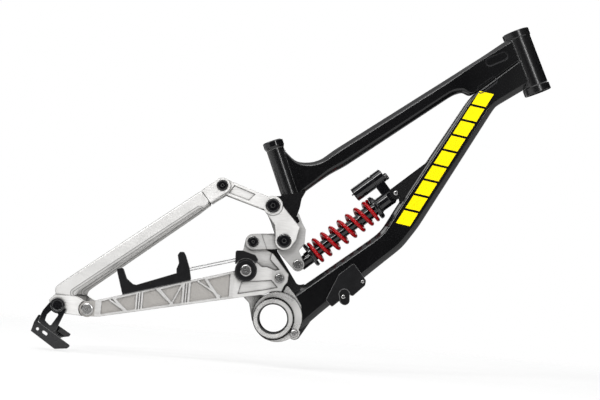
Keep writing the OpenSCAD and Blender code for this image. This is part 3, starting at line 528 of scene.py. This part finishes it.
# %% Dress every part of the exact model
slots = {entry["node"]: entry["material_slot"] for entry in frame["record"]["subparts"]}
own_finish = {"hose_rods": "drawn_steel", "swingarm": "ribbed_alloy",
              "bb_cradle": "polished_alloy", "drag_link_drive": "mid_alloy",
              "drag_link_left": "mid_alloy"}


def dress(piece, finish):
    if not piece.material_slots:
        piece.data.materials.append(finish)
    for place in piece.material_slots:
        place.link = "OBJECT"
        place.material = finish


for name, piece in nodes.items():
    dress(piece, finishes[own_finish.get(name, slots[name])])
print("dressed", len(nodes), "parts")

# %% [markdown]
# Every piece made here ends the same way: its mesh becomes an object, gets a
# finish and rides on a body, and the exact part that it takes the place of, if
# any, is hidden. A ring of vertices joined to the next ring makes any tube,
# bead or coil.

# %% Pieces from rings of points


def finished(name, mesh, body, finish, stands_for=None):
    """Makes an object of a mesh with its finish and body, and hides the exact part it replaces."""
    bmesh.ops.recalc_face_normals(mesh, faces=mesh.faces)
    data = bpy.data.meshes.new(name)
    mesh.to_mesh(data)
    mesh.free()
    for face in data.polygons:
        face.use_smooth = len(face.vertices) == 4
    piece = bpy.data.objects.new(name, data)
    bpy.context.scene.collection.objects.link(piece)
    piece.data.materials.append(finishes[finish])
    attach(piece, body)
    if stands_for:
        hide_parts(stands_for)
    print(name, "faces", len(data.polygons))
    return piece


def joined(rings, closed=False):
    """A skin over rings of points; the two ends are capped, or joined to each other."""
    mesh = bmesh.new()
    rows = [[mesh.verts.new(p) for p in ring] for ring in rings]
    for a, b in zip(rows, rows[1:] + rows[:1] if closed else rows[1:]):
        for i in range(len(a)):
            j = (i + 1) % len(a)
            mesh.faces.new((a[i], a[j], b[j], b[i]))
    if not closed:
        mesh.faces.new(reversed(rows[0]))
        mesh.faces.new(rows[-1])
    return mesh


# %% [markdown]
# The two big tubes are shaped from flat sheet-like sides with a slanted band
# along every edge. Their exact solids are made of straight lengths, so here
# each is drawn again as one smooth skin. Its section has eight sides with a
# small round bend at each corner. Two extra points beside every bend hold the
# flat sides flat in the shading.

# %% Section of a tube


def section(depth, width, high, low, bend=0.0030, hold=0.0008):
    """Points (up, side) round an eight-sided section whose slanted bands are high and low."""
    a, b = depth / 2, width / 2
    corners = [Vector(p) for p in ((a, b - high), (a - high, b), (low - a, b), (-a, b - low),
                                   (-a, low - b), (low - a, -b), (a - high, -b), (a, high - b))]
    shortest = min((q - p).length for p, q in zip(corners, corners[1:] + corners[:1]))
    # Two bends share each side, so one may take a little less than half of it.
    fit = min(1.0, 0.47 * shortest / (bend + hold))
    curve, reach = bend * fit, (bend + hold) * fit
    points = []
    for i, here in enumerate(corners):
        back = (corners[i - 1] - here).normalized()
        on = (corners[(i + 1) % 8] - here).normalized()
        points.append(here + back * reach)
        for t in (0.0, 0.25, 0.5, 0.75, 1.0):
            points.append(here + back * curve * (1 - t) ** 2 + on * curve * t ** 2)
        points.append(here + on * reach)
    return points


# %% [markdown]
# Only a few cuts across each tube are given, so stations are laid between them
# every few millimetres. A running average then softens the bends. Past either
# end it sees the list turned about its last row, so the ends stay put and
# straight lengths stay straight.

# %% Stations along a tube


def softened(rows, reach=7, spread=2.6):
    """Each number averaged with its neighbours along the list; both ends stay put."""
    weights = [math.exp(-0.5 * (k / spread) ** 2) for k in range(-reach, reach + 1)]
    last = len(rows) - 1
    out = []
    for i in range(last + 1):
        total = [0.0] * len(rows[0])
        for k, weight in zip(range(i - reach, i + reach + 1), weights):
            if k < 0:
                row = [2 * a - b for a, b in zip(rows[0], rows[-k])]
            elif k > last:
                row = [2 * a - b for a, b in zip(rows[last], rows[2 * last - k])]
            else:
                row = rows[k]
            total = [s + weight * v for s, v in zip(total, row)]
        out.append([s / sum(weights) for s in total])
    return out


def stations(ends, step=4.0, spread=2.6):
    """Rows [upper x, upper z, lower x, lower z, width, high, low] every few millimetres."""
    rows = []
    for (ua, la, *wa), (ub, lb, *wb) in zip(ends, ends[1:]):
        a, b = [*ua, *la, *wa], [*ub, *lb, *wb]
        n = max(2, round(max(math.dist(ua, ub), math.dist(la, lb)) / step))
        rows += [[p + (q - p) * k / n for p, q in zip(a, b)] for k in range(n)]
    return softened(rows + [b], spread=spread)


def cuts(ends, spread=2.6, **corners):
    """The middle, the upward direction and the section at every station, in metres."""
    for ux, uz, lx, lz, *sizes in stations(ends, spread=spread):
        upper, lower = Vector((ux, 0, uz)) / 1000, Vector((lx, 0, lz)) / 1000
        sizes = [size / 1000 for size in sizes]
        yield ((upper + lower) / 2, (upper - lower).normalized(),
               section((upper - lower).length, *sizes, **corners))


def tube_rings(ends):
    return [[mid + up * p.x + Vector((0, p.y, 0)) for p in outline]
            for mid, up, outline in cuts(ends)]


# %% [markdown]
# Where a tube meets the head tube or the seat tube, its end follows that
# round barrel. Each line of points along the skin is run on until it meets a
# cylinder inside the barrel's wall, so nothing shows in the bore and no gap
# shows outside.

# %% Ends that follow a barrel
head_top, head_low = Vector((0.449, 0, 0.636)), Vector((0.50712, 0, 0.51304))
head_axis = (head_top - head_low).normalized()
seat_top, seat_low = Vector((-0.033, 0, 0.363)), Vector((0.022, 0, 0.236))
seat_axis = (seat_top - seat_low).normalized()
head_wall, seat_wall = 0.0258, 0.0172
head_outside, seat_outside = 0.0272, 0.0186
fitted_rings = 6


def meets(start, on, centre, axis, radius):
    """Where the line from start through on first comes within radius of an axis."""
    way, away = on - start, start - centre
    # Seen along the axis, this is where a line crosses a circle.
    q, d = away - axis * away.dot(axis), way - axis * way.dot(axis)
    half, room = q.dot(d), q.dot(q) - radius * radius
    inner = half * half - d.dot(d) * room
    return start + way * ((-half - math.sqrt(max(inner, 0.0))) / d.dot(d))


def fit_end(rings, at_start, centre, axis, radius):
    """Draws the last few rings out or back, so that the skin ends on a cylinder."""
    order = list(range(len(rings)))
    order = (order if at_start else order[::-1])[:fitted_rings + 1]
    for j in range(len(rings[0])):
        first, held = rings[order[0]][j], rings[order[-1]][j]
        end = meets(held, first, centre, axis, radius)
        for k, i in enumerate(order):
            rings[i][j] = end + (held - end) * k / fitted_rings
    return rings


# %% [markdown]
# Each row below is one cut across a tube, in millimetres: the middle of its
# upper and lower side, [x, z], then its width and the heights of its upper and
# lower bands. The bands shrink to almost nothing where the two tubes meet
# behind the head tube, because there they lie against each other.

# %% Top tube and down tube
top_ends = [
    [(437.0, 619.3), (459.2, 572.3), 44, 9, 2], [(378, 572), (366, 491.6), 42, 9, 2],
    [(361, 560), (353, 502), 41, 9, 5], [(318, 527), (331, 493), 36, 9, 9],
    [(93, 356), (118, 324), 36, 9, 9], [(72, 337), (92, 308), 33, 8.2, 8.2],
    [(52, 328), (59, 280), 28, 7, 7], [(20, 325), (42, 265), 24, 6, 6],
    [(-9, 350), (20, 246), 18, 4.5, 4.5]]
down_ends = [
    [(459.4, 571.9), (483.2, 521.6), 46, 2, 9], [(380, 503), (425, 480), 48, 3, 9],
    [(366, 491), (418, 473), 48, 6, 9], [(232, 249), (281, 212), 47, 9, 9],
    [(207, 200), (252, 168), 48, 9, 9], [(186, 180), (222, 140), 50, 9, 9],
    [(52, 69), (98, 22), 58, 9, 9], [(26, 47), (57, -20), 58, 9, 9]]
top_rings = fit_end(tube_rings(top_ends), True, head_top, head_axis, head_wall)
top_rings = fit_end(top_rings, False, seat_top, seat_axis, seat_wall)
down_rings = fit_end(tube_rings(down_ends), True, head_top, head_axis, head_wall)
finished("top_tube_skin", joined(top_rings), "front", "tube_paint", "top_tube")
finished("down_tube_skin", joined(down_rings), "front", "striped_paint", "down_tube")

# %% [markdown]
# The down tube ends in a tongue that the bottom bracket forging clasps. It is
# a flat lug, so its outline is two circles joined by their tangents, and a
# row of insets rounds its rim.

# %% Tongue under the down tube
tongue_half = 0.0177


def lug_outline(a, ra, b, rb, count=20):
    """Points round two circles and the lines that join them, in side view."""
    way = Vector((b[0] - a[0], b[1] - a[1]))
    turn = math.atan2(way.y, way.x)
    open_by = math.acos((ra - rb) / way.length)
    points = []
    for centre, r, low, high in ((a, ra, turn + open_by, turn + 2 * math.pi - open_by),
                                 (b, rb, turn - open_by, turn + open_by)):
        for k in range(count + 1):
            t = low + (high - low) * k / count
            points.append(Vector((centre[0] + r * math.cos(t), 0, centre[1] + r * math.sin(t))))
    return points


def plate_rings(shrunk, half, rim=0.0012):
    """Rings across a flat piece: shrunk(d) is its outline drawn in by d."""
    steps = [(rim, -half), (rim * 0.3, -half + rim * 0.3), (0.0, -half + rim)]
    steps += [(inset, -y) for inset, y in reversed(steps)]
    return [[p + Vector((0, y, 0)) for p in shrunk(inset)] for inset, y in steps]


def tongue_outline(inset):
    return lug_outline((0.064, 0.006), 0.014 - inset, (0.046, -0.027), 0.013 - inset)


tongue = plate_rings(tongue_outline, tongue_half)
finished("down_tube_tongue", joined(tongue), "front", "black_paint")

# %% [markdown]
# Each seatstay is a straight extruded bar with rounded long edges. It leans
# inward on its way up, so the side position of every point follows from its
# place along the frame. The rings are the same eight-sided sections as on the
# tubes, only with narrow bands.

# %% Seatstay bars
both_sides = ((-1, "drive"), (1, "left"))
stay_low_x, stay_run = -0.395, 0.230
stay_low_y, stay_high_y = 0.08325, 0.04115
stay_ends = [
    [(-440, 12), (-398, 12), 14.5, 2.5, 2.5], [(-442, 25), (-396, 21), 14.5, 2.5, 2.5],
    [(-434, 33.5), (-388, 28), 14.5, 2.5, 4], [(-168, 248), (-172, 203), 20, 3, 5],
    [(-160, 238.8), (-164, 211), 20, 3, 4], [(-151, 228.5), (-152, 221.5), 20, 2, 2]]


def stay_rings(side):
    rings = []
    for mid, up, outline in cuts(stay_ends, spread=1.0, bend=0.0012, hold=0.0006):
        ring = []
        for p in outline:
            here = mid + up * p.x
            lean = min(max((here.x - stay_low_x) / stay_run, 0.0), 1.0)
            middle = stay_low_y + (stay_high_y - stay_low_y) * lean
            ring.append(here + Vector((0, side * (middle + p.y), 0)))
        rings.append(ring)
    return rings


for side, word in both_sides:
    finished("stay_bar_" + word, joined(stay_rings(side)), "seatstay", "long_alloy",
             "seatstay_" + word)

# %% [markdown]
# Thin bright washers sit under the large black bolt heads of the linkage. Each
# is turned: a small profile of radius and height goes once round the bolt's
# axis.

# %% Washers


def angles(count):
    """Evenly spaced angles, once round."""
    return [2 * math.pi * i / count for i in range(count)]


def turned(profile, centre, side):
    """A closed profile of (radius, height) in millimetres, spun about a bolt's axis."""
    x, z = centre
    return joined([[Vector((x + r * math.cos(t), side * y, z + r * math.sin(t))) / 1000
                    for t in angles(64)] for r, y in profile], closed=True)


for name, node, centre, at, inner, outer in (
        ("link_washer", "link_axle_bolts", (-20, 230), 42.0, 12.9, 15.4),
        ("pin_washer", "lower_pin_bolts", (9, 160), 42.0, 12.7, 15.2),
        ("drag_washer", "drag_link_bolts", (-54, 153), 33.0, 9.5, 11.9),
        ("stay_washer", "stay_bolts", (-126, 262), 50.0, 9.8, 12.2)):
    rim = [(inner, at), (outer, at), (outer, at + 0.35), (outer - 0.3, at + 0.6), (inner, at + 0.6)]
    for side, word in both_sides:
        finished(name + "_" + word, turned(rim, centre, side), nodes[node]["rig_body"], "steel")

# %% [markdown]
# A weld bead runs round each joint of the tubes. It is laid down in overlapping
# drops, which leave even ripples. The bead follows the loop where the skin
# meets the barrel's outside, and its radius swells and falls once for each
# drop.

# %% Weld beads
bead_step = 0.0008
steps_per_drop = 4


def even_loop(loop, step):
    """Points at equal distances round a closed loop."""
    lengths = [(b - a).length for a, b in zip(loop, loop[1:] + loop[:1])]
    count = round(sum(lengths) / step)
    gap = sum(lengths) / count
    points, i, passed = [], 0, 0.0
    for k in range(count):
        while passed + lengths[i] < k * gap:
            passed += lengths[i]
            i += 1
        a, b = loop[i], loop[(i + 1) % len(loop)]
        points.append(a.lerp(b, (k * gap - passed) / max(lengths[i], 1e-9)))
    return points


def weld(name, rings, at_start, centre, axis, radius, size):
    """A rippled bead where the skin meets the outside of a barrel."""
    near, far = (0, fitted_rings) if at_start else (-1, -1 - fitted_rings)
    loop = even_loop([meets(f, n, centre, axis, radius) for n, f in zip(rings[near], rings[far])],
                     bead_step)
    for _ in range(3):
        loop = [(a + b * 2 + c) / 4 for a, b, c in zip(loop[-1:] + loop, loop, loop[1:] + loop[:1])]
    rows = []
    for k, here in enumerate(loop):
        along = (loop[(k + 1) % len(loop)] - loop[k - 1]).normalized()
        out = (here - centre) - axis * (here - centre).dot(axis)
        out = (out - along * out.dot(along)).normalized()
        across = along.cross(out)
        r = size * (1 + 0.16 * math.sin(2 * math.pi * k / steps_per_drop))
        rows.append([here + (out * math.cos(t) * 0.7 + across * math.sin(t)) * r
                     for t in angles(10)])
    finished(name, joined(rows, closed=True), "front", "black_paint")


weld("weld_head_top", top_rings, True, head_top, head_axis, head_outside, 0.0028)
weld("weld_head_down", down_rings, True, head_top, head_axis, head_outside, 0.0028)
weld("weld_seat", top_rings, False, seat_top, seat_axis, seat_outside, 0.0017)

# %% [markdown]
# The spring is one red wire wound round the damper, with close turns at both
# ends. The path of the wire is a helix whose pitch changes: at the ends each
# turn climbs by a little more than the wire's thickness, and by much more in
# between.

# %% Path of the spring's wire
shock_low = Vector((0.041, 0, 0.114))
shock_dir = Vector((0.752415, 0, 0.658689))
shock_side = Vector((0.658689, 0, -0.752415))
wire_r, coil_r = 0.0039, 0.0226
spring_low, spring_high = 0.0386, 0.1974
closed_low, open_turns, closed_high = 0.55, 6.5, 0.95
close_pitch, seat_gap = 0.0081, 0.00005
close_height = (closed_low + closed_high) * close_pitch
open_pitch = (spring_high - spring_low - 2 * (wire_r + seat_gap) - close_height) / open_turns


def on_shock(x, y, z):
    return shock_low + shock_side * x + Vector((0, y, 0)) + shock_dir * z


def coil_point(turn):
    z = (spring_low + wire_r + seat_gap + close_pitch * min(turn, closed_low)
         + open_pitch * max(0.0, min(turn - closed_low, open_turns))
         + close_pitch * max(0.0, turn - closed_low - open_turns))
    a = math.pi + 2 * math.pi * turn
    return on_shock(coil_r * math.cos(a), coil_r * math.sin(a), z)


print("open turns climb", round(open_pitch, 5), "metres each")

# %% [markdown]
# The exact solid of the spring has a coarse wire of few sides, so a round one
# takes its place. In use the spring shortens while its upper end stays on the
# collar. Here it is only given a mesh of its own.

# %% Coil spring


def wire_rings(sides=16, per_turn=40):
    """Round rings along the wire, a little thinner at its two cut ends."""
    total = closed_low + open_turns + closed_high
    count = int(total * per_turn)
    rows = []
    for k in range(count + 1):
        turn = total * k / count
        here = coil_point(turn)
        along = (coil_point(min(turn + 0.01, total)) - coil_point(max(turn - 0.01, 0))).normalized()
        out = here - shock_low
        out = (out - shock_dir * out.dot(shock_dir)).normalized()
        up = along.cross(out).normalized()
        fade = min(1.0, 0.55 + 0.45 * min(k, count - k) / 2)
        rows.append([here + (out * math.cos(t) + up * math.sin(t)) * wire_r * fade
                     for t in angles(sides)])
    return rows


spring = finished("coil_wire", joined(wire_rings()), "damper", "red_coat", "coil_spring")
on_shock(0, 0, spring_high)
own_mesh(spring)

# %% [markdown]
# The object stands in a plain white room. The camera, reflections and clear
# things see that white in full, but it lights the object more gently, so that
# the alloy doesn't burn out. A Light Path node tells the kinds of ray apart,
# and picks one of two white backgrounds.

# %% White room
scene = bpy.context.scene
scene.view_settings.view_transform = "Standard"
room_light = 0.36


def white_room():
    world = bpy.data.worlds.new("studio")
    world.use_nodes = True
    g = Graph(world.node_tree)
    camera_ray, glossy_ray, clear_ray = (g.node("LightPath", out=f"Is {kind} Ray")
                                         for kind in ("Camera", "Glossy", "Transmission"))
    gentle, full = (g.node("Background", None, {"Color": (1, 1, 1), "Strength": strength})
                    for strength in (room_light, 1.0))
    seen = (camera_ray + glossy_ray + clear_ray).clip()
    g.ends_in(g.node("MixShader", None, {0: seen, 1: gentle, 2: full}), "World Output")
    return world


scene.world = white_room()
print("the room lights at", room_light, "of its white")

# %% [markdown]
# A broad lamp hangs above the frame and a smaller one to its left. Two narrow
# bright strips stand on the camera's side, and draw long lines on round and
# slanted faces. A wide lamp lights the far side.

# %% Lamps


def lamp(name, at, aim, size, radiance, spin=0.0):
    """An area lamp; radiance is how bright it looks, where 1 is the white of the background."""
    data = bpy.data.lights.new(name, "AREA")
    data.shape = "RECTANGLE"
    data.size, data.size_y = size
    data.energy = radiance * math.pi * size[0] * size[1]
    piece = bpy.data.objects.new(name, data)
    scene.collection.objects.link(piece)
    piece.visible_camera = False
    turn = (Vector(aim) - Vector(at)).to_track_quat("-Z", "Y")
    piece.matrix_world = (Matrix.Translation(at) @ turn.to_matrix().to_4x4()
                          @ Matrix.Rotation(math.radians(spin), 4, "Z"))
    print(name, "looks", radiance, "times white")


lamp("top lamp", (0.0, -0.95, 2.5), (0.0, 0.0, 0.2), (3.0, 0.9), 2.6)
lamp("left lamp", (-1.95, -0.1, 1.9), (0.3, 0.0, 0.36), (0.9, 0.9), 5.0)
lamp("right strip", (1.5, -2.8, 1.0), (0.25, 0.0, 0.4), (0.30, 1.9), 15.0, 25.0)
lamp("front lamp", (-1.0, -2.45, 1.96), (0.15, 0.0, 0.35), (2.1, 0.36), 20.0, 48.0)
lamp("back lamp", (0.2, 2.6, 1.8), (0.0, 0.0, 0.2), (2.4, 1.4), 3.0)

# %% [markdown]
# A photographer keeps black lacquer black with flags: dark cards that stand
# where a side would otherwise mirror the white room. Four stand in a wide
# square round the object. They also draw the thin dark outlines on the round
# edges of the bright links. They only show in reflections, and take no light
# from the object.

# %% Dark flags
flag_away, flag_height, flag_middle = 4.4, 4.6, 1.5


def flag(name, place, turned_by):
    bpy.ops.mesh.primitive_grid_add(x_subdivisions=2, y_subdivisions=2, size=1.0, location=place,
                                    rotation=(math.pi / 2, 0, turned_by))
    card = bpy.context.object
    card.name = name
    card.scale = (2 * flag_away, flag_height, 1.0)
    f = Finish(name)
    cloth = f.blend(f.noise(40.0), (0.004, 0.004, 0.004), (0.008, 0.008, 0.008))
    card.data.materials.append(f.done(Base_Color=cloth, Roughness=1.0, Specular_IOR_Level=0.0))
    card.visible_camera = card.visible_diffuse = card.visible_shadow = False
    card.visible_transmission = card.visible_volume_scatter = False


for k, name in enumerate(("front_flag", "right_flag", "back_flag", "left_flag")):
    around = math.pi / 2 * k
    flag(name, (flag_away * math.sin(around), -flag_away * math.cos(around), flag_middle), around)
print("flags stand", flag_away, "metres away")

# %% [markdown]
# The floor is a pale disc just under the lowest part. It turns clear towards
# its rim, so that it melts into the white room. Most of what the camera sees
# of it is a plain white glow, and the rest is lit, so that a soft shadow stays.

# %% Floor
floor_z = cad_box[0][2] - 0.004
floor_radius = 2.3
glow_share = 0.72


def floor_finish():
    f = Finish("pale floor")
    x, y = f.axis("X"), f.axis("Y")
    far = (x * x + y * y) ** 0.5
    white = f.node("Emission", None, {0: (1, 1, 1)})
    camera_ray = f.node("LightPath", out="Is Camera Ray") * glow_share
    lit = f.node("MixShader", None, {0: camera_ray, 1: Wire(f, f.shader.outputs[0]), 2: white})
    clear = f.node("BsdfTransparent")
    out = f.node("MixShader", None, {0: far.step(1.2, 2.2), 1: lit, 2: clear})
    f.ends_in(out, "Material Output")
    paint = f.blend(f.noise(3.0), (0.90, 0.90, 0.90), (0.93, 0.93, 0.93))
    return f.done(Base_Color=paint, Roughness=0.8)


bpy.ops.mesh.primitive_circle_add(vertices=96, radius=floor_radius, fill_type="NGON",
                                  location=(0, 0, floor_z))
floor = bpy.context.object
floor.name = "floor"
floor.data.materials.append(floor_finish())
print("floor at", round(floor_z, 4))

# %% [markdown]
# A long lens from three and a half metres away keeps the near and far side of
# the frame almost the same size. The camera looks at the drive side and a
# little upward, and is rolled by five degrees. Its own right and back
# directions give the matrix, after they are made exactly square.

# %% Camera
camera_data = bpy.data.cameras.new("camera")
camera_data.sensor_width = 36.0
camera_data.lens = 98.63
camera_data.clip_end = 50.0
camera = bpy.data.objects.new("camera", camera_data)
scene.collection.objects.link(camera)
right = Vector((0.99622, 0.00121, 0.08686))
back = Vector((0.00552, -0.998766, -0.049365))
upward = back.cross(right).normalized()
right = upward.cross(back).normalized()
turn = Matrix((right, upward, back.normalized())).transposed().to_4x4()
camera.matrix_world = Matrix.Translation((0.05254, -3.4, 0.08018)) @ turn
scene.camera = camera
print("camera looks along", [round(v, 3) for v in -back.normalized()])
